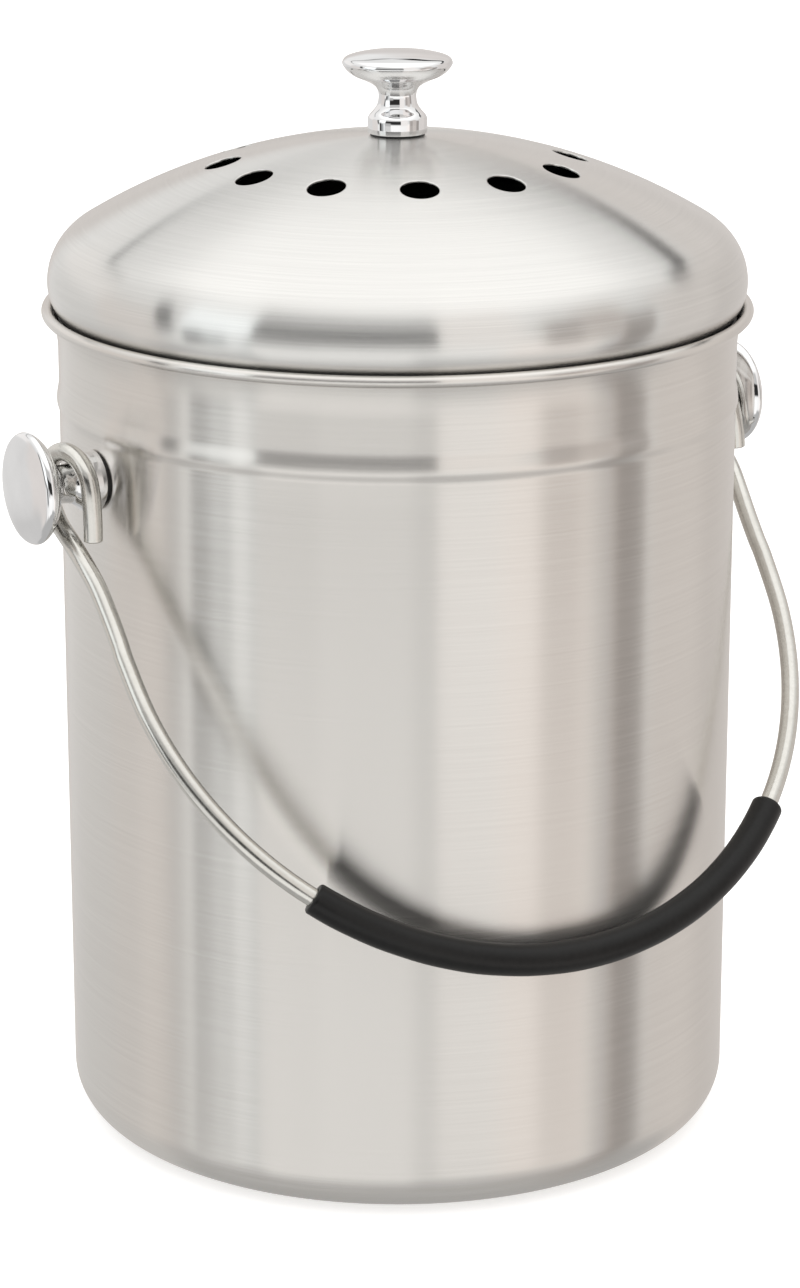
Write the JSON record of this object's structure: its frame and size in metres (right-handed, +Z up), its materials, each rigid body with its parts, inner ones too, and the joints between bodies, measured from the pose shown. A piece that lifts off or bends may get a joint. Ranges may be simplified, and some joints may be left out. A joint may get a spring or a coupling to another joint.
{
  "type": "compost caddy",
  "caption": "Straight-sided steel pail with a rolled rim and a swinging bail with a rubber grip, and a vented domed lid with a knob that lifts off and holds a charcoal filter.",
  "frame": {"origin": "middle of the pail's base, on the surface that it stands on", "axes": "+Z up the pail; X through the two posts; the bail rests against the front of the wall, on the -Y side"},
  "size_m": [0.215, 0.1855, 0.2793],
  "materials": {
    "steel_body": "brushed round the pail",
    "steel_lid": "brushed in circles round the knob",
    "steel_wire": "drawn wire, satin",
    "polished": "mirror polished",
    "screw_steel": "turned",
    "grip_rubber": "smooth, half matt",
    "seal_rubber": "matt",
    "liner_plastic": "moulded, fine grain",
    "charcoal_felt": "non-woven felt"
  },
  "bodies": {
    "pail": {"bucket_shell": "steel_body", "left_post": "polished", "right_post": "polished", "left_post_gasket": "seal_rubber", "right_post_gasket": "seal_rubber", "left_post_screw": "screw_steel", "right_post_screw": "screw_steel", "left_post_washer": "seal_rubber", "right_post_washer": "seal_rubber"},
    "lid": {"lid_shell": "steel_lid", "lid_knob": "polished", "lid_knob_gasket": "seal_rubber", "lid_knob_screw": "screw_steel", "lid_knob_washer": "seal_rubber", "lid_collar": "liner_plastic"},
    "filter_tray": {"charcoal_filter": "charcoal_felt", "filter_retainer": "liner_plastic"},
    "bail": {"bail_wire": "steel_wire", "handle_grip": "grip_rubber"}
  },
  "joints": [
    {"name": "lid_lift", "type": "slide", "parent": "pail", "child": "lid", "axis": [0, 0, 1], "range_m": [0, 0.12]},
    {"name": "filter_pull", "type": "slide", "parent": "lid", "child": "filter_tray", "axis": [0, 0, -1], "range_m": [0, 0.04]},
    {"name": "bail_swing", "type": "hinge", "parent": "pail", "child": "bail", "pos_m": [0, 0, 0.1798], "axis": [-1, 0, 0], "range_deg": [0, 281]}
  ]
}
